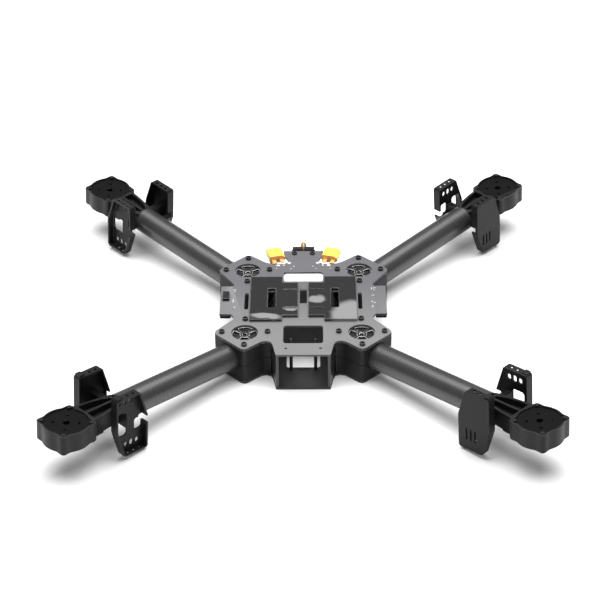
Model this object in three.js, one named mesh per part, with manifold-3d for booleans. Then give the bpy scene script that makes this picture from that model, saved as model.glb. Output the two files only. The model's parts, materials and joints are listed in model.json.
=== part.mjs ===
// Four-arm multirotor airframe: two deck plates, four clamped tubes and their motor bases.
// Millimetres, +Z up, front of the craft towards -Y, standing on Z = 0.
import * as THREE from 'three';
import * as BufferGeometryUtils from 'three/addons/utils/BufferGeometryUtils.js';
import Module from 'manifold-3d';

// ---- driving dimensions ----
const HEIGHT = 39.5;            // floor to the top face of the upper deck
const PLATE = 2;                // deck plate thickness
const GAP = 0.3;                // clearance where pieces meet
const LOBE = 55.2;              // clamp centre from each mid-plane
const MOTOR = 206.5;            // motor centre from each mid-plane, in plan
const DIHEDRAL = THREE.MathUtils.degToRad(4.8);
const TUBE_R = 13;
const TUBE_WALL = 1.5;
const TUBE_Z = 20.3;            // tube axis above the floor at the clamp centre
const SCREW_REACH = 21.57;      // clamp screw from the clamp centre
const LOBE_HOLE_R = 12.7;
const REACH = (MOTOR - LOBE) * Math.SQRT2 / Math.cos(DIHEDRAL);
const BASE_TOP = 10.4;          // motor seat above the tube axis
const BASE_BOTTOM = -7.8;
const SEAT_R = 21.6;            // motor seat rim between its ears
const SEAT_EAR = 4.4;           // how far each ear swells past it
const NECK_END = -56.7;         // inboard end of the base's neck, from the motor centre
const SHELL_IN = 22;            // shell rims from the tube axis
const SHELL_OUT = 30;
const SHELL_WALL = 1.7;
const SHELL_MID = -50;          // shell centre from the motor centre, along the tube
const SEGMENTS = 20;

const DECK_HALF = [
  [25.5, -92.7], [28.6, -76], [30.4, -71.4], [34.5, -69.4], [39.5, -70.6], [51.8, -81.4],
  [55.2, -83.2], [58.6, -81.6], [81, -59.2], [83.4, -55.2], [82.2, -51.6], [67.2, -33.4],
  [66.6, -29], [69.2, -24], [80.4, -23.6], [80.4, 25.8], [69.4, 25.8], [67.4, 29], [82.6, 52.8],
  [83.4, 56], [81, 60], [58.6, 82.2], [55.2, 84], [51.8, 82.6], [38.6, 71], [33, 68],
  [19.5, 67.4], [16, 70], [16, 76], [18.4, 81], [19.8, 86.5], [20, 92],
];
const UNDER_HALF = [
  [25.5, -92.7], [28.6, -76], [30.4, -71.4], [34.5, -69.4], [39.5, -70.6], [51.8, -81.4],
  [55.2, -83.2], [58.6, -81.6], [81, -59.2], [83.4, -55.2], [82.2, -51.6], [64, -32],
  [58, -24], [58, 24], [64, 32], [82.6, 52.8], [83.4, 56], [81, 60], [58.6, 82.2],
  [55.2, 84], [51.8, 82.6], [41, 77.6], [34, 79], [24, 79],
];
const CLAMP_OUTLINE = [
  [27.6, -2.6], [28.2, 0], [27.6, 2.6], [2.6, 27.6], [0, 28.2], [-2.8, 27.4], [-15.4, 15.6],
  [-20.6, 14.2], [-24.4, 14.2], [-24.4, -4], [-2.6, -27.4], [0, -28.2], [2.8, -27.2], [12, -22.4],
];
const SHELL_OUTLINE = [
  [-17.9, -29], [-16.4, -30.5], [7.6, -30.5], [9.4, -29.3], [17.5, -4.4], [17.9, -2], [17.9, 29],
  [16.4, 30.5], [-7.6, 30.5], [-9.4, 29.3], [-17.5, 4.4], [-17.9, 2],
];
const SHELL_WINDOW = [
  [3.5, -12.5], [11, -12.5], [12.4, -11], [14.8, -3.4], [14.8, 9.5], [12.8, 11.5],
  [3.5, 11.5], [1.5, 9.5], [1.5, -10.5],
];
const CORNERS = [
  ['front_left', -1, -1], ['front_right', 1, -1], ['rear_left', -1, 1], ['rear_right', 1, 1],
];
const SCREW_PLACES = [['inner', -1, 0], ['outer', 1, 0], ['mid', 0, -1], ['end', 0, 1]];

const wasm = await Module();
wasm.setup();

// ---- solids ----
function solid(geometry) {
  const bare = geometry.clone();
  bare.deleteAttribute('normal');
  bare.deleteAttribute('uv');
  const merged = BufferGeometryUtils.mergeVertices(bare, 1e-4);
  return new wasm.Manifold(new wasm.Mesh({
    numProp: 3,
    vertProperties: new Float32Array(merged.attributes.position.array),
    triVerts: new Uint32Array(merged.index.array),
  }));
}

function fromSolid(manifold) {
  const mesh = manifold.getMesh();
  const geometry = new THREE.BufferGeometry();
  geometry.setAttribute('position', new THREE.BufferAttribute(mesh.vertProperties, 3));
  geometry.setIndex(new THREE.BufferAttribute(mesh.triVerts, 1));
  geometry.computeVertexNormals();
  return geometry;
}

function carve(base, cuts) {
  return cuts.reduce((body, cut) => body.subtract(solid(cut)), base);
}

function join(pieces) {
  return pieces.slice(1).reduce((body, piece) => body.add(solid(piece)), solid(pieces[0]));
}

function shapeOf(points) {
  return new THREE.Shape(points.map(([x, y]) => new THREE.Vector2(x, y)));
}

function prism(points, z0, z1) {
  const geometry = new THREE.ExtrudeGeometry(shapeOf(points), { depth: z1 - z0, bevelEnabled: false });
  return geometry.translate(0, 0, z0);
}

// A prism drawn in X and Z and raised along Y, between y0 and y1.
function sidePrism(points, y0, y1) {
  const geometry = new THREE.ExtrudeGeometry(shapeOf(points), { depth: y1 - y0, bevelEnabled: false });
  return geometry.rotateX(Math.PI / 2).translate(0, y1, 0);
}

function box(x0, x1, y0, y1, z0, z1) {
  const geometry = new THREE.BoxGeometry(x1 - x0, y1 - y0, z1 - z0);
  return geometry.translate((x0 + x1) / 2, (y0 + y1) / 2, (z0 + z1) / 2);
}

function rod(x, y, z0, z1, r, segments = SEGMENTS, rTop = r) {
  const geometry = new THREE.CylinderGeometry(rTop, r, z1 - z0, segments);
  return geometry.rotateX(Math.PI / 2).translate(x, y, (z0 + z1) / 2);
}

// A rod along X, for whatever meets a tube.
function axialRod(x0, x1, r, segments = SEGMENTS) {
  const geometry = new THREE.CylinderGeometry(r, r, x1 - x0, segments);
  return geometry.rotateZ(Math.PI / 2).translate((x0 + x1) / 2, 0, 0);
}

function roundedRect(x0, x1, y0, y1, r) {
  const steps = r > 1.6 ? 3 : 1;
  const points = [];
  const centres = [[x1 - r, y1 - r, 0], [x0 + r, y1 - r, 1], [x0 + r, y0 + r, 2], [x1 - r, y0 + r, 3]];
  for (const [cx, cy, quarter] of centres) {
    for (let i = 0; i <= steps; i += 1) {
      const angle = (quarter + i / steps) * Math.PI / 2;
      points.push([cx + r * Math.cos(angle), cy + r * Math.sin(angle)]);
    }
  }
  return points;
}

function mirrored(half) {
  return [...half, ...half.map(([x, y]) => [-x, y]).reverse()];
}

// Moves every edge of a closed, counter-clockwise outline inwards.
function inset(points, d) {
  const n = points.length;
  return points.map((p, i) => {
    const a = points[(i + n - 1) % n];
    const b = points[(i + 1) % n];
    const e1 = new THREE.Vector2(p[0] - a[0], p[1] - a[1]).normalize();
    const e2 = new THREE.Vector2(b[0] - p[0], b[1] - p[1]).normalize();
    const n1 = new THREE.Vector2(-e1.y, e1.x);
    const n2 = new THREE.Vector2(-e2.y, e2.x);
    const k = d / (1 + n1.dot(n2));
    return [p[0] + (n1.x + n2.x) * k, p[1] + (n1.y + n2.y) * k];
  });
}

function flipped(points, sx, sy) {
  const out = points.map(([x, y]) => [x * sx, y * sy]);
  return sx * sy < 0 ? out.reverse() : out;
}

// ---- scene ----
const group = new THREE.Group();
group.name = 'multirotor_frame';

const carbon = () => new THREE.MeshStandardMaterial({ color: 0x2b2c2e, roughness: 0.35, metalness: 0.1 });
const moulding = () => new THREE.MeshStandardMaterial({ color: 0x222224, roughness: 0.6, metalness: 0 });
const deckGrey = () => new THREE.MeshStandardMaterial({ color: 0x8f8f94, roughness: 0.5, metalness: 0.2 });
const steel = () => new THREE.MeshStandardMaterial({ color: 0x3c3c40, roughness: 0.4, metalness: 0.8 });
const padBlack = () => new THREE.MeshStandardMaterial({ color: 0x3d3d40, roughness: 0.15, metalness: 0 });
const yellow = () => new THREE.MeshStandardMaterial({ color: 0xf2c414, roughness: 0.35, metalness: 0 });
const gold = () => new THREE.MeshStandardMaterial({ color: 0xc79a4a, roughness: 0.3, metalness: 0.9 });

function put(parent, name, geometry, material) {
  const mesh = new THREE.Mesh(geometry, material);
  mesh.name = name;
  parent.add(mesh);
  return mesh;
}

function padOutline(side) {
  const points = [
    [5, -30], [20.3, -30], [20.3, -37], [51.5, -37], [51.5, 39], [20.3, 39], [20.3, 28], [5, 28],
  ];
  return flipped(points, side, 1);
}

function strapSlot(side, z0, z1) {
  const points = roundedRect(26.6, 34.4, -16.5, 17.5, 1);
  return prism(flipped(points, side, 1), z0, z1);
}

function clampHoles(z0, z1, r) {
  const cuts = [];
  for (const [, sx, sy] of CORNERS) {
    for (const [, dx, dy] of SCREW_PLACES) {
      cuts.push(rod(sx * LOBE + dx * SCREW_REACH, sy * LOBE + dy * SCREW_REACH, z0, z1, r, 10));
    }
  }
  return cuts;
}

function addTopPlate() {
  const low = HEIGHT - PLATE;
  const z0 = low - 1;
  const z1 = HEIGHT + 1;
  const cuts = clampHoles(z0, z1, 1.75);
  for (const [, sx, sy] of CORNERS) {
    cuts.push(rod(sx * LOBE, sy * LOBE, z0, z1, LOBE_HOLE_R, 26));
  }
  cuts.push(prism(roundedRect(-18.8, 18.8, -73.7, -44, 3), z0, z1));
  cuts.push(prism(mirrored([[19.4, 34.3], [19.4, 51.5]]), z0, z1));
  cuts.push(box(-3.5, 3.5, -5.3, 21, z0, z1));
  for (const side of [-1, 1]) {
    cuts.push(strapSlot(side, z0, z1));
    cuts.push(prism(flipped(roundedRect(53, 57, -15.6, 13.6, 1.2), side, 1), z0, z1));
    cuts.push(rod(side * 16.2, -82.1, z0, z1, 1.4, 12));
    cuts.push(rod(side * 9, 86.3, z0, z1, 1.5, 12));
  }
  const body = solid(prism(mirrored(DECK_HALF), low, HEIGHT));
  put(group, 'top_plate', fromSolid(carve(body, cuts)), deckGrey());
}

function addBottomPlate() {
  const cuts = clampHoles(-1, PLATE + 1, 1.75);
  cuts.push(prism(roundedRect(-16, 16, -59.4, -34, 2), -1, PLATE + 1));
  cuts.push(box(-5, 5, -73, -61.5, PLATE - 0.8, PLATE + 1));
  cuts.push(prism(roundedRect(-24, 24, 16, 52, 4), -1, PLATE + 1));
  const body = solid(prism(mirrored(UNDER_HALF), 0, PLATE));
  put(group, 'bottom_plate', fromSolid(carve(body, cuts)), carbon());
}

function tubeBore(sx, sy) {
  const bore = axialRod(-40, 60, TUBE_R + GAP, 28);
  const turn = new THREE.Matrix4().makeRotationZ(Math.atan2(sy, sx));
  const tilt = new THREE.Matrix4().makeRotationY(-DIHEDRAL);
  bore.applyMatrix4(turn.multiply(tilt));
  return bore.translate(0, 0, TUBE_Z);
}

function clampCuts(sx, sy, z0, z1) {
  const cuts = [tubeBore(sx, sy)];
  for (const [, dx, dy] of SCREW_PLACES) {
    cuts.push(rod(dx * SCREW_REACH, dy * SCREW_REACH, z0, z1, 1.6, 8));
  }
  return cuts;
}

// Four wedge pockets around a boss leave the crossed ribs seen through the deck opening.
function ribPockets(z0, z1) {
  const cuts = [];
  for (let i = 0; i < 4; i += 1) {
    const points = [];
    for (let k = 0; k <= 4; k += 1) {
      const angle = (-32 + k * 16) * Math.PI / 180;
      points.push([12 * Math.cos(angle), 12 * Math.sin(angle)]);
    }
    points.push([4.2, 2.6], [4.9, 0], [4.2, -2.6]);
    cuts.push(prism(points, z0, z1).rotateZ(i * Math.PI / 2));
  }
  cuts.push(rod(0, 0, z0, z1, 2.2, 10));
  return cuts;
}

function addClamps() {
  const low = PLATE + GAP;
  const high = HEIGHT - PLATE - GAP;
  for (const [label, sx, sy] of CORNERS) {
    const outline = flipped(CLAMP_OUTLINE, sx, sy);
    const upperCuts = [...clampCuts(sx, sy, 0, HEIGHT), ...ribPockets(high - 2.4, HEIGHT)];
    const upper = carve(solid(prism(outline, TUBE_Z + GAP / 2, high)), upperCuts);
    const lower = carve(solid(prism(outline, low, TUBE_Z - GAP / 2)), clampCuts(sx, sy, 0, HEIGHT));
    for (const [part, body] of [['upper_clamp', upper], ['lower_clamp', lower]]) {
      const mesh = put(group, `${part}_${label}`, fromSolid(body), moulding());
      mesh.position.set(sx * LOBE, sy * LOBE, 0);
    }
  }
}

function screwProfile(headR, headH, shankR, length) {
  const points = [
    [0, -length], [shankR, -length], [shankR, 0], [headR, 0], [headR, headH],
    [1.3, headH], [1.3, headH - 1.2], [0, headH - 1.2],
  ];
  return points.map(([x, y]) => new THREE.Vector2(x, y));
}

function addScrew(name, x, y, z, headR, headH, shankR, length, segments) {
  const geometry = new THREE.LatheGeometry(screwProfile(headR, headH, shankR, length), segments);
  const mesh = put(group, name, fromSolid(solid(geometry.rotateX(Math.PI / 2))), steel());
  mesh.position.set(x, y, z);
}

function addScrews() {
  for (const [label, sx, sy] of CORNERS) {
    for (const [place, dx, dy] of SCREW_PLACES) {
      const x = sx * (LOBE + dx * SCREW_REACH);
      const y = sy * (LOBE + dy * SCREW_REACH);
      addScrew(`clamp_screw_${label}_${place}`, x, y, HEIGHT + GAP / 3, 2.75, 2.6, 1.3, 34, 10);
    }
  }
  for (const [label, side] of [['left', -1], ['right', 1]]) {
    addScrew(`rear_screw_${label}`, side * 9, 86.3, HEIGHT + GAP / 3, 2.6, 1.8, 1.2, 4.8, 10);
  }
}

// ---- arms: X runs outwards along the tube, from the motor centre ----
function tubeGeometry() {
  const x0 = -REACH - 25;
  const x1 = NECK_END - GAP;
  const profile = [
    [TUBE_R - TUBE_WALL, x0], [TUBE_R, x0], [TUBE_R, x1], [TUBE_R - TUBE_WALL, x1], [TUBE_R - TUBE_WALL, x0],
  ].map(([r, x]) => new THREE.Vector2(r, x));
  return new THREE.LatheGeometry(profile, 32).rotateZ(-Math.PI / 2);
}

// Round neck that carries on the tube's line and thins out under the motor seat.
function neckCone() {
  const r = TUBE_R - 0.1;
  const profile = [[0, NECK_END], [r, NECK_END], [r, -42], [9, -22], [0, -22]];
  const points = profile.map(([radius, x]) => new THREE.Vector2(radius, x));
  return new THREE.LatheGeometry(points, 28).rotateZ(-Math.PI / 2);
}

function cornerAngles() {
  return [1, 3, 5, 7].map((eighth) => eighth * Math.PI / 4);
}

// Rim of the motor seat: a circle that swells into four screw ears.
function seatOutline(shrink) {
  const points = [];
  for (let i = 0; i < 64; i += 1) {
    const angle = i * Math.PI / 32;
    const ear = Math.max(0, -Math.cos(4 * angle)) ** 3;
    const r = SEAT_R + SEAT_EAR * ear - shrink;
    points.push([r * Math.cos(angle), r * Math.sin(angle)]);
  }
  return points;
}

function motorBase() {
  const outline = [
    [NECK_END, -8.6], [-46, -11], [-30.6, -13.4], [-22, -14.2], [-15, -16.5], [0, -16],
    [0, 16], [-15, 16.5], [-22, 14.2], [-30.6, 13.4], [-46, 11], [NECK_END, 8.6],
  ];
  const pieces = [
    prism(seatOutline(0), BASE_BOTTOM, BASE_TOP),
    prism(outline, BASE_BOTTOM + 1.5, BASE_TOP),
    prism(outline.slice(2, 10), BASE_BOTTOM, BASE_TOP),
    neckCone(),
    axialRod(NECK_END - 22, NECK_END + 2, TUBE_R - TUBE_WALL - GAP, SEGMENTS),
  ];
  const cuts = [
    prism(seatOutline(1.6), BASE_TOP - 1.4, BASE_TOP + 1),
    rod(0, 0, BASE_BOTTOM - 1, BASE_TOP + 1, 3.4, 12),
    box(NECK_END + 0.5, -18, -20, 20, BASE_TOP, BASE_TOP + 9),
  ];
  for (const angle of cornerAngles()) {
    pieces.push(rod(22 * Math.cos(angle), 22 * Math.sin(angle), BASE_BOTTOM - 0.8, BASE_TOP - 1, 3.2, 10));
    cuts.push(rod(11.5 * Math.cos(angle), 11.5 * Math.sin(angle), BASE_BOTTOM - 1, BASE_TOP + 1, 1.5, 8));
  }
  for (const side of [-1, 1]) {
    const pocket = [[-53, 1.3], [-22, 1.3], [-22, 11.6], [-32, 10.6], [-44, 8.4], [-53, 4.6]];
    cuts.push(prism(flipped(pocket, 1, side), BASE_TOP - 6, BASE_TOP + 1));
  }
  const posts = cornerAngles().map((angle) => {
    return rod(22.3 * Math.cos(angle), 22.3 * Math.sin(angle), BASE_TOP - 3, BASE_TOP + 0.6, 2.3, 10);
  });
  const body = carve(join(pieces), cuts);
  return fromSolid(posts.reduce((sum, post) => sum.add(solid(post)), body));
}

// Saddle block that bears on the neck and carries a shell.
function saddle(y0, y1) {
  return box(-6, 1, y0, y1, -7, 7);
}

function shellNub(flip, y0, y1) {
  const [z0, z1] = flip > 0 ? [28.8, 32.5] : [-32.5, -28.8];
  return box(11.5, 16.8, y0, y1, z0, z1);
}

function wallSlots(flip) {
  const cuts = [];
  const y0 = SHELL_IN + 3;
  for (const k of [-1, 0, 1]) {
    for (const end of [-1, 1]) {
      const x = end * 4 + k * 6.6;
      const z = end * flip * 30;
      cuts.push(box(x - 1.4, x + 1.4, y0, y0 + 3, z - 5, z + 5));
    }
  }
  return cuts;
}

function ventedShell(flip) {
  const outline = flipped(SHELL_OUTLINE, 1, flip);
  const pocket = inset(outline, SHELL_WALL);
  const windowOf = (x0, x1, z0, z1, r) => flipped(roundedRect(x0, x1, z0, z1, r), 1, flip);
  const cuts = [
    sidePrism(pocket, SHELL_IN + SHELL_WALL, SHELL_OUT + 1),
    sidePrism(flipped(SHELL_WINDOW, 1, flip), SHELL_IN - 1, SHELL_OUT),
    sidePrism(windowOf(-15.6, -7.1, -11, 0.5, 1.5), SHELL_IN - 1, SHELL_OUT),
    sidePrism(windowOf(-22, -12, -4, 3, 1), SHELL_IN - 1, SHELL_OUT + 1),
    axialRod(-30, 30, TUBE_R + GAP, 28),
    ...wallSlots(flip),
  ];
  for (const k of [-1, 0, 1]) {
    const tall = k === 0 ? 3.2 : 2.6;
    for (const [x, z] of [[4 + k * 6.4, 22.6], [-4 + k * 6.4, -22.6]]) {
      cuts.push(sidePrism(windowOf(x - 2, x + 2, z - tall, z + tall, 1), SHELL_IN - 2, SHELL_IN + 3));
    }
  }
  const pieces = [
    sidePrism(outline, SHELL_IN, SHELL_OUT),
    saddle(10, SHELL_IN + 0.5),
    shellNub(flip, SHELL_IN + 0.5, SHELL_OUT - 1),
  ];
  return fromSolid(carve(join(pieces), cuts));
}

function solidShell(flip) {
  const outline = flipped(SHELL_OUTLINE, 1, flip);
  const pocket = inset(outline, SHELL_WALL);
  const hollow = sidePrism(pocket, -SHELL_OUT + SHELL_WALL, -SHELL_IN + 1);
  const cuts = [];
  for (const x of [-8.5, -3.5, 1.5]) {
    cuts.push(sidePrism(roundedRect(x - 1, x + 1, -20.5, -8, 0.9), -SHELL_OUT - 1, 1.2 - SHELL_OUT));
  }
  cuts.push(sidePrism(roundedRect(0.7, 2.3, -20.2, -17.4, 0.7), -SHELL_OUT - 1, -SHELL_IN));
  cuts.push(...wallSlots(flip).map((cut) => cut.translate(0, -2 * SHELL_IN - 7.5, 0)));
  cuts.push(sidePrism(flipped(roundedRect(-22, -15, -4, 2.4, 1), 1, flip), -SHELL_OUT + 3, -SHELL_IN + 1));
  const nub = shellNub(flip, 1 - SHELL_OUT, -SHELL_IN - 0.5);
  const outer = join([sidePrism(outline, -SHELL_OUT, -SHELL_IN), nub]);
  const tray = outer.subtract(solid(hollow));
  const block = solid(saddle(-SHELL_OUT + 1, -10)).subtract(solid(axialRod(-30, 30, TUBE_R + GAP, 28)));
  return fromSolid(carve(tray.add(block), cuts));
}

function addArms() {
  for (const [label, sx, sy] of CORNERS) {
    const yaw = new THREE.Group();
    yaw.name = `arm_yaw_${label}`;
    yaw.position.set(sx * LOBE, sy * LOBE, TUBE_Z);
    yaw.rotation.z = Math.atan2(sy, sx);
    const pitch = new THREE.Group();
    pitch.name = `arm_pitch_${label}`;
    pitch.rotation.y = -DIHEDRAL;
    yaw.add(pitch);
    group.add(yaw);
    const flip = sy < 0 ? 1 : -1;
    put(pitch, `arm_tube_${label}`, fromSolid(solid(tubeGeometry())), carbon()).position.x = REACH;
    put(pitch, `motor_base_${label}`, motorBase(), moulding()).position.x = REACH;
    put(pitch, `vented_shell_${label}`, ventedShell(flip), moulding()).position.x = REACH + SHELL_MID;
    put(pitch, `solid_shell_${label}`, solidShell(flip), moulding()).position.x = REACH + SHELL_MID;
  }
}

// ---- deck fittings ----
function addPads() {
  const z0 = HEIGHT + GAP / 3;
  for (const [label, side] of [['left', -1], ['right', 1]]) {
    const cuts = [strapSlot(side, z0 - 1, z0 + 5)];
    for (const y of [-17.3, 15]) {
      cuts.push(prism(flipped(roundedRect(6.4, 19.4, y - 0.8, y + 0.8, 0.5), side, 1), z0 + 1.2, z0 + 5));
    }
    const body = carve(solid(prism(padOutline(side), z0, z0 + 2.8)), cuts);
    put(group, `battery_pad_${label}`, fromSolid(body), padBlack());
  }
}

function addFrontBay() {
  const low = PLATE + GAP;
  const high = HEIGHT - PLATE - GAP;
  for (const [label, side] of [['left', -1], ['right', 1]]) {
    const cheek = [
      [22.9, -92.2], [25.3, -92.2], [28.4, -75], [29.8, -68],
      [29.8, -52], [27.3, -52], [27.3, -68], [25.9, -75],
    ];
    put(group, `side_cheek_${label}`, prism(flipped(cheek, side, 1), low, high), carbon());
    put(group, `front_post_${label}`, rod(side * 11.6, -63, low, high, 1.6, 18), steel());
  }
}

function addSideRails() {
  for (const [label, side] of [['left', -1], ['right', 1]]) {
    const z1 = HEIGHT - PLATE - GAP;
    const body = prism(flipped(roundedRect(69.6, 80.2, -23.4, 22, 1), side, 1), z1 - 2.9, z1);
    put(group, `side_rail_${label}`, body, moulding());
  }
  const plug = prism(roundedRect(-78.4, -71.6, -0.5, 12.6, 0.6), HEIGHT + 0.1, HEIGHT + 3);
  put(group, 'signal_plug', plug, moulding());
}

function connectorBody() {
  const face = [[-8, -3], [-7.2, -4], [4.4, -4], [8, -1.6], [8, 1.6], [4.4, 4], [-7.2, 4], [-8, 3]];
  const pieces = [sidePrism(face, -8, 8)];
  for (const x of [-4, 4]) {
    pieces.push(box(x - 2, x + 2, -14.6, -7.5, -0.8, 0.1));
  }
  const socket = sidePrism(inset(face, 1.1), 0.4, 9);
  const pins = [-3.4, 3].map((x) => new THREE.CylinderGeometry(1.7, 1.7, 7, 12).translate(x, 3.7, 0));
  const body = carve(join(pieces), [socket]);
  return fromSolid(pins.reduce((sum, pin) => sum.add(solid(pin)), body));
}

function addRearFittings() {
  for (const [label, side] of [['left', -1], ['right', 1]]) {
    const mesh = put(group, `power_connector_${label}`, connectorBody(), yellow());
    mesh.position.set(side * 28, 82, HEIGHT + 1);
    mesh.rotation.z = side * -THREE.MathUtils.degToRad(15);
  }
  const tongue = box(-12, 12, 78, 98, HEIGHT - PLATE - GAP - 2.6, HEIGHT - PLATE - GAP);
  const lip = box(-11, 11, 92.4, 98, HEIGHT - PLATE - GAP - 2.6, HEIGHT + 1.4);
  const cuts = [-9, 9].map((x) => rod(x, 86.3, 20, 50, 1.4, 12));
  const jackHole = new THREE.CylinderGeometry(2.2, 2.2, 20, 16).translate(0, 95, HEIGHT - 1.4);
  cuts.push(jackHole);
  put(group, 'antenna_bracket', fromSolid(carve(join([tongue, lip]), cuts)), moulding());
  const profile = [
    [0, 0], [1.9, 0], [1.9, 5.8], [3.4, 5.8], [3.4, 8],
    [2.7, 8.2], [2.7, 14.4], [1.9, 14.8], [1.9, 11], [0, 11],
  ];
  const jack = new THREE.LatheGeometry(profile.map(([r, y]) => new THREE.Vector2(r, y)), 20);
  put(group, 'antenna_jack', fromSolid(solid(jack)), gold()).position.set(0, 92.5, HEIGHT - 1.4);
}

addTopPlate();
addBottomPlate();
addClamps();
addScrews();
addArms();
addPads();
addFrontBay();
addSideRails();
addRearFittings();

export default group;
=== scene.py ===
"""Looks of a four-arm multirotor airframe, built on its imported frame. Metres, +Z up, nose towards -Y."""

import json
import math

import bmesh
import bpy
from mathutils import Matrix, Vector


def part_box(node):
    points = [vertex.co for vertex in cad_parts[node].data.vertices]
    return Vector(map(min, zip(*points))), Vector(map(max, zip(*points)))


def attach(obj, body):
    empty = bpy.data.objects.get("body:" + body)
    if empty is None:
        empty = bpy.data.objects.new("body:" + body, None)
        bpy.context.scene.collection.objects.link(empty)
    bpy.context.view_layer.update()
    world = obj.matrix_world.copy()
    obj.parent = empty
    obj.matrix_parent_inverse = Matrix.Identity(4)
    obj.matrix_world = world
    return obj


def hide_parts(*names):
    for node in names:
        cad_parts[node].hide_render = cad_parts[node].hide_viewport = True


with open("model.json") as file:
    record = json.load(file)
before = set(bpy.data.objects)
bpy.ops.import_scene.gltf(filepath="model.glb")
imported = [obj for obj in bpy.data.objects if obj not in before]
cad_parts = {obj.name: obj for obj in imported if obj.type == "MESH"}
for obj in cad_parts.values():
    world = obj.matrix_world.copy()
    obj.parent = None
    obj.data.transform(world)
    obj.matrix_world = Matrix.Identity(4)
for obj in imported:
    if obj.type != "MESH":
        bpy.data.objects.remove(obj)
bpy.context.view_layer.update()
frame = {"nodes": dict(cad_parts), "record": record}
MOUNTS = {mount["name"]: mount for mount in frame["record"]["mounts"]}
MM = 0.001
CORNERS = ("front_left", "front_right", "rear_left", "rear_right")
SCREW_PLACES = ("inner", "outer", "mid", "end")
SIDES = (("left", -1), ("right", 1))
UP = Vector((0, 0, 1))

# ---- the camera ----
VIEW_ELEVATION = math.radians(32.9)
VIEW_AZIMUTH = math.radians(-0.5)
VIEW_ROLL = math.radians(-0.56)
VIEW_DISTANCE = 1.742
VIEW_CENTRE = Vector((-0.0032, 0.0002, 0.0398))
LENS = 107.9

# ---- sizes shared by pieces ----
TUBE_R = 13 * MM
TUBE_WALL = 1.5 * MM
SEAT_RISE = 9 * MM              # motor seat above the tube axis
SEAT_OFFSET = 7 * MM            # seat mount outboard of the motor centre
SEAT_RIM = 10.4 * MM            # top of the seat's rim above the tube axis
SEAT_R = 21.6 * MM
LOBE = 55.2 * MM                # lobe centres from each mid-plane
LOBE_REACH = 15 * MM            # a little more than a lobe opening's radius
PLUG_X = 28 * MM                # power connectors, from the middle and from the centre
PLUG_Y = 82 * MM
PLUG_TURN = math.radians(15)
RING_RATE = 1900.0               # radians a metre: rings in a bore, threads on a face, plies in an edge
THREAD_RATE = 3300.0
PLY_RATE = 16000.0
TOW = 2 * math.pi * TUBE_R / (math.sqrt(2) * 34)
DECK_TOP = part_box("top_plate")[1].z

# Solder beads in mm, for the right side: place, half sizes and height.
SOLDER_BEADS = [
    (25.2, 64.2, 2.4, 1.7, 0.9), (14.2, 68.6, 2.3, 1.8, 1.0), (19.5, 64.6, 1.3, 1.1, 0.6),
    (9.5, 62.5, 0.8, 0.8, 0.4), (12.4, 58.0, 0.8, 0.7, 0.4), (26.8, 58.8, 0.7, 0.7, 0.4),
]
# Printed bars in mm: near corner, width and depth.
WING_MARKS = [
    ("left", [
        (-68.2, 19.0, 2.6, 1.1), (-67.6, 15.6, 1.6, 1.0),
        (-68.4, -3.2, 1.0, 5.6), (-67.2, -12.4, 1.6, 1.4),
    ]),
    ("right", [
        (66.2, 19.6, 1.0, 3.0), (68.2, 21.4, 2.6, 0.9), (68.4, 17.6, 1.0, 1.6),
        (66.4, 8.2, 2.6, 0.9), (66.2, -3.6, 1.0, 2.4), (68.0, -5.0, 2.4, 0.9), (66.4, -12.8, 1.0, 3.4),
    ]),
]


# ---- shader maths ----
class Value:
    """A number in a finish. Arithmetic on it adds Math nodes."""

    def __init__(self, finish, socket):
        self.finish = finish
        self.socket = socket

    def math(self, operation, *others):
        return self.finish.add("ShaderNodeMath", {"operation": operation}, dict(enumerate((self, *others))))

    def __add__(self, other):
        return self.math("ADD", other)

    __radd__ = __add__

    def __mul__(self, other):
        return self.math("MULTIPLY", other)

    __rmul__ = __mul__

    def __sub__(self, other):
        return self.math("SUBTRACT", other)

    def __rsub__(self, other):
        return (self * -1.0) + other

    def __truediv__(self, other):
        return self.math("DIVIDE", other)

    def __mod__(self, other):
        return self.math("FLOORED_MODULO", other)

    def __lt__(self, other):
        return self.math("LESS_THAN", other)

    def floor(self):
        return self.math("FLOOR")

    def fraction(self):
        return self.math("FRACT")

    def size(self):
        return self.math("ABSOLUTE")

    def root(self):
        return self.math("SQRT")

    def sine(self):
        return self.math("SINE")

    def between(self, low, high):
        """0 below low, 1 above high, and smooth in between."""
        settings = {"interpolation_type": "SMOOTHSTEP"}
        inputs = {"Value": self, "From Min": low, "From Max": high}
        return self.finish.add("ShaderNodeMapRange", settings, inputs)


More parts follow.
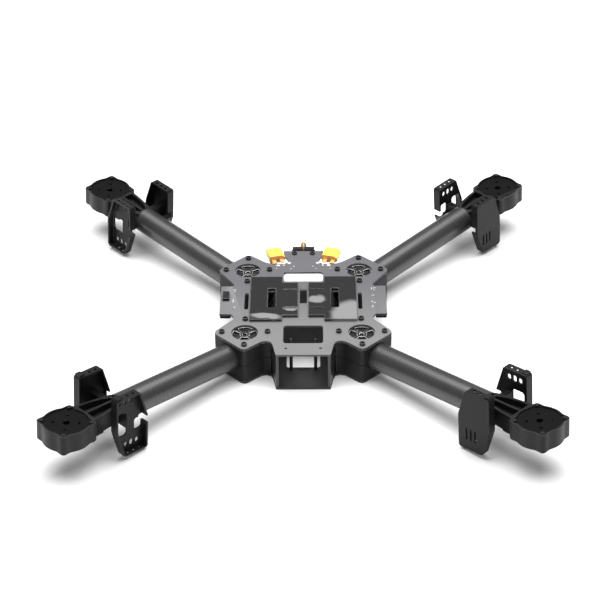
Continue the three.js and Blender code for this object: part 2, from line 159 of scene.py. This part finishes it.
class Finish:
    """One material, its Principled shader and the nodes that feed it."""

    def __init__(self, name, **values):
        self.material = bpy.data.materials.new(name)
        self.material.use_nodes = True
        self.tree = self.material.node_tree
        self.shader = self.tree.nodes["Principled BSDF"]
        self.set(**{"Specular IOR Level": 0.5} | values)

    def add(self, kind, settings=None, inputs=None, out=0):
        node = self.tree.nodes.new(kind)
        for key, value in (settings or {}).items():
            setattr(node, key, value)
        for key, value in (inputs or {}).items():
            self.feed(node.inputs[key], value)
        return Value(self, node.outputs[out])

    def feed(self, socket, value):
        if isinstance(value, Value):
            self.tree.links.new(value.socket, socket)
        elif socket.type == "RGBA" and len(value) == 3:
            socket.default_value = (*value, 1)
        else:
            socket.default_value = value

    def set(self, **values):
        for key, value in values.items():
            self.feed(self.shader.inputs[key.replace("_", " ")], value)

    def place(self):
        """Object coordinates, as a vector and as its three numbers."""
        point = self.add("ShaderNodeTexCoord", out=3)
        parts = self.add("ShaderNodeSeparateXYZ", None, {"Vector": point}).socket.node
        return point, *(Value(self, output) for output in parts.outputs)

    def noise(self, point, scale, detail=3.0, roughness=0.5, distortion=0.0):
        inputs = {"Vector": point, "Scale": scale, "Detail": detail, "Roughness": roughness}
        return self.add("ShaderNodeTexNoise", None, inputs | {"Distortion": distortion})

    def mix(self, share, first, second):
        """A colour share of the way from first to second. The colour sockets are numbers 6 and 7."""
        return self.add("ShaderNodeMix", {"data_type": "RGBA"}, {0: share, 6: first, 7: second}, 2)

    def bump(self, height, strength, depth):
        inputs = {"Height": height, "Strength": strength, "Distance": depth}
        self.set(Normal=self.add("ShaderNodeBump", None, inputs))


def carbon_weave(u, v):
    """How high a two-by-two twill stands, and which tow is on top, for places counted in tows."""
    warp_on_top = ((u.floor() + v.floor()) % 4.0) < 2.0
    across_warp = (u.fraction() - 0.5).size() * 2.0
    across_weft = (v.fraction() - 0.5).size() * 2.0
    height = 1.0 - (warp_on_top * across_warp + (1.0 - warp_on_top) * across_weft)
    return height, warp_on_top


def tube_finish():
    finish = Finish("clear_coated_carbon", Coat_Weight=0.3, Coat_Roughness=0.2, Coat_IOR=1.5)
    point, x, y, z = finish.place()
    around = y.math("ARCTAN2", z) * (TUBE_R / TOW)
    along = x / TOW
    diagonal = 1 / math.sqrt(2)
    height, warp = carbon_weave((along + around) * diagonal, (along - around) * diagonal)
    tone = warp * 0.18 + height * 0.14 + finish.noise(point, 220.0) * 0.35
    finish.set(Base_Color=finish.mix(tone, (0.016, 0.016, 0.017), (0.05, 0.05, 0.052)))
    finish.set(Roughness=finish.noise(point, 90.0) * 0.16 + 0.3)
    finish.bump(height, 0.12, 0.00006)
    return finish.material


def bore_finish():
    finish = Finish("bare_tube_wall")
    point, x, _, _ = finish.place()
    rings = (x * RING_RATE).sine() * 0.5 + 0.5
    tone = rings * 0.15 + finish.noise(point, 400.0) * 0.7
    finish.set(Base_Color=finish.mix(tone, (0.006, 0.006, 0.006), (0.02, 0.02, 0.02)))
    finish.set(Roughness=0.62)
    finish.bump(tone, 0.25, 0.0001)
    return finish.material


def laminate_finish(name, front, rear, rough, sheen=0.5):
    """Satin laminate whose colour shifts from the nose to the tail as painted light, lighter at the nose,
    with a fine cross-laid grain.
    """
    finish = Finish(name, **{"Specular IOR Level": sheen})
    point, x, y, _ = finish.place()
    grain = finish.noise(point, 1500.0, 2.0)
    cloud = finish.noise(point, 22.0, 3.0)
    threads = ((x * THREAD_RATE).sine() * (y * THREAD_RATE).sine()) * 0.5 + 0.5
    aft = (y + cloud * 0.03).between(-0.05, 0.055)
    # painted light: the nose colour turns into the darker tail colour towards the rear
    painted_light_gradient = finish.mix(aft, front, rear)
    speck = (grain * 0.7 + threads * 0.3).between(0.25, 0.75)
    finish.set(Base_Color=finish.mix(speck * 0.28, painted_light_gradient, tuple(c * 0.55 for c in front)))
    finish.set(Roughness=cloud * 0.2 + (rough - 0.1))
    finish.bump(threads * 0.5 + grain * 0.5, 0.12, 0.00008)
    return finish.material


def cut_edge_finish(name, light, dark):
    """The stacked plies that a routed edge shows."""
    finish = Finish(name)
    point, _, _, z = finish.place()
    plies = (z * PLY_RATE).sine() * 0.5 + 0.5
    tone = plies * 0.55 + finish.noise(point, 900.0) * 0.45
    finish.set(Base_Color=finish.mix(tone, dark, light), Roughness=0.55)
    finish.bump(tone, 0.2, 0.00006)
    return finish.material


def moulding_finish(name, dark, light, rough, sheen=0.26, grain_scale=1300.0):
    """Nylon moulding: spark-eroded grain, faint flow clouds and slightly polished high spots."""
    finish = Finish(name, **{"Specular IOR Level": sheen})
    point, *_ = finish.place()
    grain = finish.noise(point, grain_scale, 2.0)
    flow = finish.noise(point, 35.0, 4.0, 0.6, 0.6)
    rubbed = finish.noise(point, 140.0, 5.0).between(0.52, 0.72)
    tone = flow * 0.6 + grain * 0.4
    finish.set(Base_Color=finish.mix(tone, dark, light))
    finish.set(Roughness=grain * 0.12 + flow * 0.14 + rubbed * -0.08 + (rough - 0.1))
    finish.bump(grain, 0.22, 0.00008)
    return finish.material


def painted_highlight_finish(name, colour):
    """Edges painted paler as a painted highlight, broken up by a noise mottle."""
    finish = Finish(name)
    point, *_ = finish.place()
    highlight_mottle = finish.noise(point, 260.0, 4.0).between(0.3, 0.7)
    finish.set(Base_Color=finish.mix(highlight_mottle, tuple(c * 0.45 for c in colour), colour))
    finish.set(Roughness=highlight_mottle * 0.15 + 0.3)
    finish.bump(highlight_mottle, 0.1, 0.00005)
    return finish.material


def steel_finish():
    finish = Finish("black_oxide_steel", Metallic=0.75)
    point, *_ = finish.place()
    mottle = finish.noise(point, 900.0, 4.0)
    finish.set(Base_Color=finish.mix(mottle, (0.018, 0.018, 0.02), (0.075, 0.073, 0.075)))
    finish.set(Roughness=mottle * 0.25 + 0.25)
    finish.bump(mottle, 0.15, 0.00005)
    return finish.material


def gold_finish():
    finish = Finish("gold_plating", Metallic=1.0)
    point, *_ = finish.place()
    mottle = finish.noise(point, 600.0, 4.0)
    finish.set(Base_Color=finish.mix(mottle, (0.62, 0.42, 0.2), (0.85, 0.68, 0.42)))
    finish.set(Roughness=mottle * 0.2 + 0.18)
    finish.bump(mottle, 0.1, 0.00004)
    return finish.material


def solder_finish():
    finish = Finish("tinned_solder", Metallic=0.35)
    point, *_ = finish.place()
    mottle = finish.noise(point, 700.0, 4.0)
    finish.set(Base_Color=finish.mix(mottle, (0.46, 0.46, 0.48), (0.7, 0.7, 0.72)))
    finish.set(Roughness=mottle * 0.3 + 0.25)
    finish.bump(mottle, 0.3, 0.0001)
    return finish.material


def nylon_finish(name, pale, deep):
    """Tinted nylon, deeper in colour where dye has pooled."""
    finish = Finish(name, Subsurface_Weight=0.12, Subsurface_Scale=0.002)
    point, *_ = finish.place()
    flow = finish.noise(point, 120.0, 3.0, 0.6, 0.8)
    grain = finish.noise(point, 1600.0, 2.0)
    finish.set(Base_Color=finish.mix(flow * 0.75, pale, deep))
    finish.set(Roughness=grain * 0.15 + 0.26)
    finish.bump(grain, 0.12, 0.00006)
    return finish.material


def ink_finish():
    finish = Finish("white_ink")
    point, *_ = finish.place()
    mottle = finish.noise(point, 2200.0, 3.0)
    finish.set(Base_Color=finish.mix(mottle, (0.42, 0.42, 0.42), (0.62, 0.62, 0.62)), Roughness=0.6)
    finish.bump(mottle, 0.15, 0.00005)
    return finish.material


def floor_finish():
    finish = Finish("matt_studio_floor", **{"Specular IOR Level": 0.1})
    point, *_ = finish.place()
    mottle = finish.noise(point, 3.0, 4.0)
    finish.set(Base_Color=finish.mix(mottle, (0.93, 0.93, 0.93), (0.95, 0.95, 0.95)), Roughness=0.85)
    return finish.material


def film_finish(side):
    """Glossy dark film over foam, with paler, rougher patches that are a painted reflection."""
    finish = Finish(f"pad_film_{'right' if side > 0 else 'left'}", Coat_Weight=0.35, Coat_Roughness=0.12)
    point, x, y, _ = finish.place()
    ripple = finish.noise(point, 55.0, 3.0, 0.5, 0.4)
    fine = finish.noise(point, 420.0, 2.0)
    warp = (ripple - 0.5) * 0.012
    # Painted reflection: pale ovals at fixed places on the film stand for reflected light.
    if side > 0:
        patches = [((0.0135, -0.0015), (0.0085, 0.0065)), ((0.0455, -0.0265), (0.0185, 0.0205))]
    else:
        patches = [((-0.036, -0.0315), (0.0165, 0.0055)), ((-0.0125, -0.0185), (0.0075, 0.0035))]
    painted_reflection = None
    for (cx, cy), (rx, ry) in patches:
        dx = (x + warp - cx) / rx
        dy = (y + warp - cy) / ry
        inside = 1.0 - (dx * dx + dy * dy).root().between(0.72, 1.2)
        painted_reflection = inside if painted_reflection is None else painted_reflection.math("MAXIMUM", inside)
    shade = finish.mix(fine * 0.6, (0.009, 0.009, 0.0098), (0.018, 0.018, 0.0192))
    finish.set(Base_Color=finish.mix(painted_reflection, shade, (0.215, 0.215, 0.215)))
    finish.set(Roughness=painted_reflection * 0.18 + fine * 0.08 + 0.2)
    finish.bump(ripple * 0.8 + fine * 0.1, 0.3, 0.0006)
    return finish.material


TUBE = tube_finish()
BORE = bore_finish()
# The upper deck's lighter nose colour and darker tail colour are painted light.
UPPER_DECK = laminate_finish("upper_deck_laminate", (0.185, 0.185, 0.187), (0.113, 0.112, 0.122), 0.42)
LOWER_DECK = laminate_finish("lower_deck_laminate", (0.024, 0.024, 0.025), (0.022, 0.022, 0.023), 0.34)
# Painted shade: the upper deck's cut walls are coloured far darker than its face, standing in for the shade
# on them; the plies are real.
TOP_PLATE_SHADED_WALL = cut_edge_finish("upper_deck_painted_shade_wall", (0.09, 0.09, 0.095), (0.035, 0.035, 0.037))
DARK_EDGE = cut_edge_finish("lower_deck_edge", (0.03, 0.03, 0.03), (0.01, 0.01, 0.01))
# Painted highlights: pale colours for bevelled edges, standing in for the light those edges catch.
TOP_PLATE_HIGHLIGHT = painted_highlight_finish("upper_deck_painted_highlight", (0.3, 0.3, 0.31))
DARK_PLATE_HIGHLIGHT = painted_highlight_finish("lower_deck_painted_highlight", (0.16, 0.16, 0.16))
CLAMP = moulding_finish("clamp_nylon", (0.004, 0.004, 0.0045), (0.011, 0.011, 0.0115), 0.55)
CLAMP_HIGHLIGHT = painted_highlight_finish("clamp_painted_highlight", (0.17, 0.17, 0.172))
RIB_HIGHLIGHT = painted_highlight_finish("rib_painted_highlight", (0.75, 0.75, 0.76))
MOULDING = moulding_finish("motor_base_nylon", (0.003, 0.003, 0.0031), (0.008, 0.008, 0.0082), 0.42)
# Painted shade: a darker copy of the motor base moulding for the seat's floor.
SHADED_SEAT_FLOOR = moulding_finish("seat_floor_painted_shade", (0.001, 0.001, 0.0011), (0.003, 0.003, 0.0031), 0.66, 0.1)
BASE_HIGHLIGHT = painted_highlight_finish("motor_base_painted_highlight", (0.2, 0.2, 0.202))
COVER = moulding_finish("cover_nylon", (0.004, 0.004, 0.0041), (0.01, 0.01, 0.0102), 0.44, 0.2, 1000.0)
COVER_HIGHLIGHT = painted_highlight_finish("cover_painted_highlight", (0.07, 0.07, 0.071))
STEEL = steel_finish()
GOLD = gold_finish()
SOLDER = solder_finish()
YELLOW = nylon_finish("yellow_nylon", (0.93, 0.8, 0.13), (0.88, 0.6, 0.045))
# Painted shade: an orange, darker copy of the yellow nylon for the connector's shaded near face.
PAINTED_SHADE_ORANGE = nylon_finish("orange_painted_shade_nylon", (0.9, 0.52, 0.2), (0.66, 0.27, 0.07))
INK = ink_finish()
FILM = {side: film_finish(side) for _, side in SIDES}
FILM_HIGHLIGHT = painted_highlight_finish("film_painted_highlight", (0.16, 0.16, 0.163))


# ---- mesh building ----
def cad_solid(node, to_local=None):
    """A working copy of a frame node: welded, with its flat faces whole again."""
    solid = bmesh.new()
    solid.from_mesh(frame["nodes"][node].data)
    if to_local is not None:
        solid.transform(to_local)
    bmesh.ops.remove_doubles(solid, verts=solid.verts, dist=0.02 * MM)
    bmesh.ops.dissolve_limit(solid, angle_limit=math.radians(1), verts=solid.verts, edges=solid.edges)
    for face in solid.faces:
        face.material_index = 0
    return solid


def edges_between(solid, low, high=180.0, along=None, where=None):
    """Edges whose faces turn by low to high degrees, if asked only those along a direction or in a place."""
    found = []
    for edge in solid.edges:
        if len(edge.link_faces) != 2:
            continue
        turn = math.degrees(edge.calc_face_angle(0.0))
        middle = (edge.verts[0].co + edge.verts[1].co) / 2
        line = (edge.verts[1].co - edge.verts[0].co).normalized()
        if not low <= turn <= high:
            continue
        if along is not None and abs(line.dot(along)) < 0.99:
            continue
        if where is not None and not where(middle):
            continue
        found.append(edge)
    return found


def round_edges(solid, edges, width, segments=2, rim=-1):
    bmesh.ops.bevel(
        solid, geom=edges, offset=width, offset_type="OFFSET", segments=segments, profile=0.5,
        affect="EDGES", clamp_overlap=True, material=rim,
    )


def add_piece(name, solid, finishes, nodes=(), place=None, crease=38.0):
    """Turns a working mesh into a piece that rides on the airframe."""
    mesh = bpy.data.meshes.new(name)
    solid.to_mesh(mesh)
    solid.free()
    for finish in finishes:
        mesh.materials.append(finish)
    mesh.shade_smooth()
    mesh.set_sharp_from_angle(angle=math.radians(crease))
    piece = bpy.data.objects.new(name, mesh)
    bpy.context.scene.collection.objects.link(piece)
    if place is not None:
        piece.matrix_world = place
    even = piece.modifiers.new("even_normals", "WEIGHTED_NORMAL")
    even.keep_sharp = True
    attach(piece, "root")
    if nodes:
        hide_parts(*nodes)
    return piece


def ring_radius(radius, sides, angle):
    """A circle's radius, or with sides that of a polygon with flats at that distance."""
    if not sides:
        return radius
    part = 2 * math.pi / sides
    return radius / math.cos((angle % part) - part / 2)


def turned(profile, segments=48, axis="Z", closed=False):
    """A solid of revolution. The profile is (along, radius) or (along, radius, sides) for a polygon ring."""
    solid = bmesh.new()
    rings = []
    for along, radius, *sides in profile:
        ring = []
        for step in range(segments):
            angle = 2 * math.pi * step / segments
            reach = ring_radius(radius, sides[0] if sides else 0, angle)
            a, b = reach * math.cos(angle), reach * math.sin(angle)
            spot = {"X": (along, a, b), "Y": (b, along, a), "Z": (a, b, along)}[axis]
            ring.append(solid.verts.new(spot))
        rings.append(ring)
    pairs = list(zip(rings, rings[1:]))
    if closed:
        pairs.append((rings[-1], rings[0]))
    for low, high in pairs:
        for step in range(segments):
            after = (step + 1) % segments
            solid.faces.new((low[step], low[after], high[after], high[step]))
    if not closed:
        solid.faces.new(list(reversed(rings[0])))
        solid.faces.new(rings[-1])
    bmesh.ops.recalc_face_normals(solid, faces=solid.faces)
    return solid


def block(low, high, width, segments=3):
    """A rounded box between two corners."""
    solid = bmesh.new()
    size = Vector(high) - Vector(low)
    place = Matrix.Translation((Vector(high) + Vector(low)) / 2) @ Matrix.Diagonal((*size, 1))
    bmesh.ops.create_cube(solid, size=1, matrix=place)
    round_edges(solid, list(solid.edges), width, segments)
    return solid


def joined(solids):
    """Several working meshes as one."""
    whole = bmesh.new()
    for solid in solids:
        part = bpy.data.meshes.new("part")
        solid.to_mesh(part)
        solid.free()
        whole.from_mesh(part)
        bpy.data.meshes.remove(part)
    return whole


def arm_place(label):
    """An arm's own axes: X outwards along the tube, Z square to it, origin under the motor."""
    mount = MOUNTS["motor_seat_" + label]
    up = Vector(mount["axis"]).normalized()
    seat = Vector(mount["pos_m"])
    out = Vector((seat.x, seat.y, 0))
    out = (out - up * out.dot(up)).normalized()
    origin = seat - out * SEAT_OFFSET - up * SEAT_RISE
    turn = Matrix((out, up.cross(out), up)).transposed().to_4x4()
    return Matrix.Translation(origin) @ turn


def span(solid_or_node, axis, to_local=Matrix.Identity(4)):
    """The lowest and highest places of a frame node along a local axis."""
    places = [(to_local @ vertex.co)[axis] for vertex in frame["nodes"][solid_or_node].data.vertices]
    return min(places), max(places)


# ---- decks ----
def add_deck(node, face, edge, rim):
    """A deck plate: rounder corners than the frame's, ply edges, and a fine broken edge."""
    solid = cad_solid(node)

    def on_lobe_hole(spot):
        return math.hypot(abs(spot.x) - LOBE, abs(spot.y) - LOBE) < LOBE_REACH

    holes = edges_between(solid, 6, 40, UP, on_lobe_hole)
    round_edges(solid, holes, 0.7 * MM, 2)
    corners = edges_between(solid, 12, 75, UP, lambda spot: not on_lobe_hole(spot) and abs(spot.x) > 22 * MM)
    round_edges(solid, corners, 1.0 * MM, 3)

    def on_rear_window(spot):
        return abs(spot.x) < 20 * MM and 30 * MM < spot.y < 55 * MM

    round_edges(solid, edges_between(solid, 75, 105, UP, on_rear_window), 3.2 * MM, 5)
    solid.normal_update()
    for part in solid.faces:
        if abs(part.normal.z) < 0.5:
            part.material_index = 1
    # the fine broken edge takes the painted highlight
    round_edges(solid, edges_between(solid, 60), 0.22 * MM, 2, 2)
    return add_piece(node + "_laminate", solid, [face, edge, rim], [node])


def add_decks():
    add_deck("top_plate", UPPER_DECK, TOP_PLATE_SHADED_WALL, TOP_PLATE_HIGHLIGHT)
    add_deck("bottom_plate", LOWER_DECK, DARK_EDGE, DARK_PLATE_HIGHLIGHT)
    for label, _ in SIDES:
        solid = cad_solid("side_cheek_" + label)
        # bevelled edges take a painted highlight
        round_edges(solid, edges_between(solid, 35), 0.2 * MM, 2, 1)
        add_piece(f"cheek_{label}", solid, [LOWER_DECK, DARK_PLATE_HIGHLIGHT], ["side_cheek_" + label])


# ---- arms ----
def add_tube(label, place):
    x0, x1 = span("arm_tube_" + label, 0, place.inverted())
    inner = TUBE_R - TUBE_WALL
    ease = 0.3 * MM
    profile = [
        (x0 + ease, TUBE_R), (x1 - ease, TUBE_R), (x1, TUBE_R - ease), (x1, inner + ease), (x1 - ease, inner),
        (x0 + ease, inner), (x0, inner + ease), (x0, TUBE_R - ease),
    ]
    solid = turned(profile, 96, "X", True)
    for face in solid.faces:
        middle = face.calc_center_median()
        if math.hypot(middle.y, middle.z) < TUBE_R - 0.05 * MM:
            face.material_index = 1
    return add_piece("tube_" + label, solid, [TUBE, BORE], ["arm_tube_" + label], place)


def add_motor_base(label, place):
    """A motor base whose seat floor is painted darker as painted shade and whose rim is painted pale as a
    painted highlight.
    """
    node = "motor_base_" + label
    solid = cad_solid(node, place.inverted())

    def on_rim(spot):
        outside = math.hypot(spot.x, spot.y) > SEAT_R - 0.4 * MM and spot.x > -0.85 * SEAT_R
        return outside and abs(spot.z - SEAT_RIM) < 0.05 * MM

    # painted shade: upward faces of the seat's floor take the darker copy
    for face in solid.faces:
        middle = face.calc_center_median()
        if face.normal.z > 0.9 and math.hypot(middle.x, middle.y) < SEAT_R and middle.z < SEAT_RIM - 1 * MM:
            face.material_index = 2
    round_edges(solid, edges_between(solid, 50, where=on_rim), 0.5 * MM, 3, 1)
    rest = edges_between(solid, 50, where=lambda spot: not on_rim(spot))
    round_edges(solid, rest, 0.4 * MM, 2, 1)
    finishes = [MOULDING, BASE_HIGHLIGHT, SHADED_SEAT_FLOOR]
    return add_piece("base_" + label, solid, finishes, [node], place)


def add_shell(kind, label, place):
    node = f"{kind}_shell_{label}"
    solid = cad_solid(node, place.inverted())
    # bevelled edges take a painted highlight
    round_edges(solid, edges_between(solid, 50), 0.4 * MM, 3, 1)
    return add_piece(f"{kind}_cover_{label}", solid, [COVER, COVER_HIGHLIGHT], [node], place)


def add_clamp(half, label):
    """Half of a clamp body: ribs in the lobe opening and outer edges painted pale as a painted highlight, the
    ribs palest, and a plain seam.
    """
    node = f"{half}_clamp_{label}"
    low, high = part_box(node)
    centre = (low + high) / 2
    seam = low.z if half == "upper" else high.z
    solid = cad_solid(node)

    def on_seam(spot):
        return abs(spot.z - seam) < 0.2 * MM

    def on_rib(spot):
        inside = math.hypot(spot.x - centre.x, spot.y - centre.y) < LOBE_REACH
        return inside and high.z - spot.z < 0.2 * MM

    if half == "upper":
        # painted highlight, the palest, on the ribs' edges
        round_edges(solid, edges_between(solid, 50, where=on_rib), 0.4 * MM, 2, 2)
    round_edges(solid, edges_between(solid, 50, where=on_seam), 0.25 * MM, 1)
    rest = edges_between(solid, 50, where=lambda spot: not on_seam(spot) and not on_rib(spot))
    round_edges(solid, rest, 0.35 * MM, 2, 1)
    add_piece(f"{half}_block_{label}", solid, [CLAMP, CLAMP_HIGHLIGHT, RIB_HIGHLIGHT], [node])


def add_arms():
    for label in CORNERS:
        place = arm_place(label)
        add_tube(label, place)
        add_motor_base(label, place)
        add_shell("vented", label, place)
        add_shell("solid", label, place)
        add_clamp("upper", label)
        add_clamp("lower", label)


# ---- fasteners ----
def socket_screw(radius, low, high):
    """A button-edged socket screw, its hexagon driven down into the head."""
    head = min(2.4 * MM, high - low)
    neck = radius * 0.55
    depth = high - 1.3 * MM
    hexagon = radius * 0.48
    profile = [
        (low, neck * 0.8), (low + 0.4 * MM, neck), (high - head, neck), (high - head, radius * 0.93),
        (high - head + 0.15 * MM, radius), (high - 0.35 * MM, radius), (high - 0.1 * MM, radius * 0.93),
        (high, radius * 0.82), (high, hexagon * 1.16), (high - 0.15 * MM, hexagon, 6), (depth, hexagon, 6),
        (depth - 0.15 * MM, hexagon * 0.5),
    ]
    return turned(profile, 48)


def add_screws():
    names = [f"clamp_screw_{label}_{spot}" for label in CORNERS for spot in SCREW_PLACES]
    names += ["rear_screw_left", "rear_screw_right"]
    for name in names:
        low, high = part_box(name)
        centre = (low + high) / 2
        solid = socket_screw((high.x - low.x) / 2, low.z - centre.z, high.z - centre.z)
        add_piece("socket_" + name, solid, [STEEL], [name], Matrix.Translation(centre), 30.0)
    for label, _ in SIDES:
        low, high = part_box("front_post_" + label)
        centre = (low + high) / 2
        half, radius = (high.z - low.z) / 2, (high.x - low.x) / 2
        ease = 0.3 * MM
        profile = [
            (-half, radius * 0.85), (-half + ease, radius), (half - ease, radius), (half, radius * 0.85),
        ]
        solid = turned(profile, 32)
        place = Matrix.Translation(centre)
        add_piece("post_" + label, solid, [STEEL], ["front_post_" + label], place, 30.0)


# ---- deck fittings ----
def add_pads():
    for label, side in SIDES:
        solid = cad_solid("battery_pad_" + label)
        # bevelled edges take a painted highlight
        round_edges(solid, edges_between(solid, 60), 0.45 * MM, 3, 1)
        node = "battery_pad_" + label
        piece = add_piece(f"film_pad_{label}", solid, [FILM[side], FILM_HIGHLIGHT], [node])


def add_rails():
    for node in ("side_rail_left", "side_rail_right", "signal_plug", "antenna_bracket"):
        solid = cad_solid(node)
        # bevelled edges take a painted highlight
        round_edges(solid, edges_between(solid, 45), 0.3 * MM, 2, 1)
        add_piece(node + "_moulding", solid, [CLAMP, CLAMP_HIGHLIGHT], [node])


def add_jack():
    """The threaded antenna jack with its nut and a shallow bore in its end."""
    low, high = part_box("antenna_jack")
    radius = (high.x - low.x) / 2
    length = high.y - low.y
    middle = Vector(((low.x + high.x) / 2, low.y, (low.z + high.z) / 2))
    thread = [(0, radius * 0.6), (0.1 * MM, radius * 0.72)]
    step = 0.7 * MM
    for turn in range(int((length - 1 * MM) / step)):
        start = 0.3 * MM + turn * step
        crest = radius * 0.84
        thread += [(start, radius * 0.72), (start + 0.3 * step, crest), (start + 0.55 * step, crest)]
    thread += [(length - 0.2 * MM, radius * 0.78), (length, radius * 0.7), (length, radius * 0.45)]
    thread += [(length - 2 * MM, radius * 0.42), (length - 2 * MM, radius * 0.12)]
    barrel = turned(thread, 40, "Y")
    nut = turned([
        (2.0 * MM, radius * 0.84), (2.0 * MM, radius * 0.86, 6), (2.4 * MM, radius * 0.87, 6),
        (4.2 * MM, radius * 0.87, 6), (4.4 * MM, radius * 0.84),
    ], 48, "Y")
    solid = joined([barrel, nut])
    add_piece("threaded_jack", solid, [GOLD], ["antenna_jack"], Matrix.Translation(middle), 30.0)


def add_connectors():
    for label, side in SIDES:
        node = "power_connector_" + label
        low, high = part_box(node)
        turn = Matrix.Rotation(side * -PLUG_TURN, 4, "Z")
        place = Matrix.Translation((side * PLUG_X, PLUG_Y, (low.z + high.z) / 2)) @ turn
        solid = cad_solid(node, place.inverted())
        round_edges(solid, edges_between(solid, 50), 0.3 * MM, 3, 0)
        for face in solid.faces:
            middle = face.calc_center_median()
            # the near face takes the orange painted shade
            if middle.y < -7.9 * MM:
                face.material_index = 1
        add_piece("plug_body_" + label, solid, [YELLOW, PAINTED_SHADE_ORANGE], [node], place)


def dome(x, y, along, across, rise):
    """An oval bead lying on the upper deck."""
    profile = [(0, 1.0), (0.35, 0.94), (0.7, 0.72), (0.93, 0.4), (1.0, 0.12)]
    solid = turned([(up * rise, out) for up, out in profile], 24)
    solid.transform(Matrix.Diagonal((along, across, 1, 1)))
    solid.transform(Matrix.Translation((x, y, DECK_TOP + 0.02 * MM)))
    return solid


def add_solder():
    """Tinned tabs and beads where the power leads meet the deck."""
    for label, side in SIDES:
        beads = [
            dome(side * x * MM, y * MM, along * MM, across * MM, rise * MM)
            for x, y, along, across, rise in SOLDER_BEADS
        ]
        add_piece("solder_beads_" + label, joined(beads), [SOLDER])


def add_marks():
    """Short printed dashes on the wings: plain bars, no characters."""
    for label, spots in WING_MARKS:
        bars = []
        for x, y, width, depth in spots:
            low = (x * MM, y * MM, DECK_TOP + 0.02 * MM)
            high = ((x + width) * MM, (y + depth) * MM, DECK_TOP + 0.1 * MM)
            bars.append(block(low, high, 0.03 * MM, 1))
        add_piece("printed_marks_" + label, joined(bars), [INK])


add_decks()
add_solder()
add_marks()
add_arms()
add_screws()
add_pads()
add_rails()
add_jack()
add_connectors()


# ---- studio ----
def add_floor():
    solid = bmesh.new()
    bmesh.ops.create_grid(solid, x_segments=8, y_segments=8, size=4.0)
    mesh = bpy.data.meshes.new("studio_floor")
    solid.to_mesh(mesh)
    solid.free()
    mesh.materials.append(floor_finish())
    floor = bpy.data.objects.new("studio_floor", mesh)
    bpy.context.scene.collection.objects.link(floor)


def add_softbox(name, spot, aim, width, depth, power):
    light = bpy.data.lights.new(name, "AREA")
    light.shape = "RECTANGLE"
    light.size = width
    light.size_y = depth
    light.energy = power
    lamp = bpy.data.objects.new(name, light)
    bpy.context.scene.collection.objects.link(lamp)
    lamp.location = spot
    lamp.rotation_euler = (Vector(aim) - Vector(spot)).to_track_quat("-Z", "Y").to_euler()


def add_lights():
    add_softbox("overhead_softbox", (0, 0.1, 1.7), (0, 0, 0), 2.4, 1.6, 54)
    add_softbox("back_softbox", (0, 1.3, 2.3), (0, 0, 0), 2.2, 1.0, 28)
    add_softbox("front_fill", (0.2, -2.4, 1.3), (0, 0, 0), 1.8, 1.0, 7)
    world = bpy.data.worlds.new("studio_air")
    world.use_nodes = True
    backdrop = world.node_tree.nodes["Background"]
    backdrop.inputs["Color"].default_value = (1, 1, 1, 1)
    backdrop.inputs["Strength"].default_value = 0.25
    bpy.context.scene.world = world
    bpy.context.scene.view_settings.view_transform = "Standard"


def add_camera():
    ahead = Vector((
        math.sin(VIEW_AZIMUTH) * math.cos(VIEW_ELEVATION),
        math.cos(VIEW_AZIMUTH) * math.cos(VIEW_ELEVATION),
        -math.sin(VIEW_ELEVATION),
    ))
    right = Vector((math.cos(VIEW_AZIMUTH), -math.sin(VIEW_AZIMUTH), 0))
    top = right.cross(ahead)
    turn = Matrix((right, top, -ahead)).transposed().to_4x4() @ Matrix.Rotation(VIEW_ROLL, 4, "Z")
    camera = bpy.data.objects.new("camera", bpy.data.cameras.new("camera"))
    camera.data.lens = LENS
    camera.data.sensor_width = 36
    camera.matrix_world = Matrix.Translation(VIEW_CENTRE - ahead * VIEW_DISTANCE) @ turn
    bpy.context.scene.collection.objects.link(camera)
    bpy.context.scene.camera = camera


add_floor()
add_lights()
add_camera()
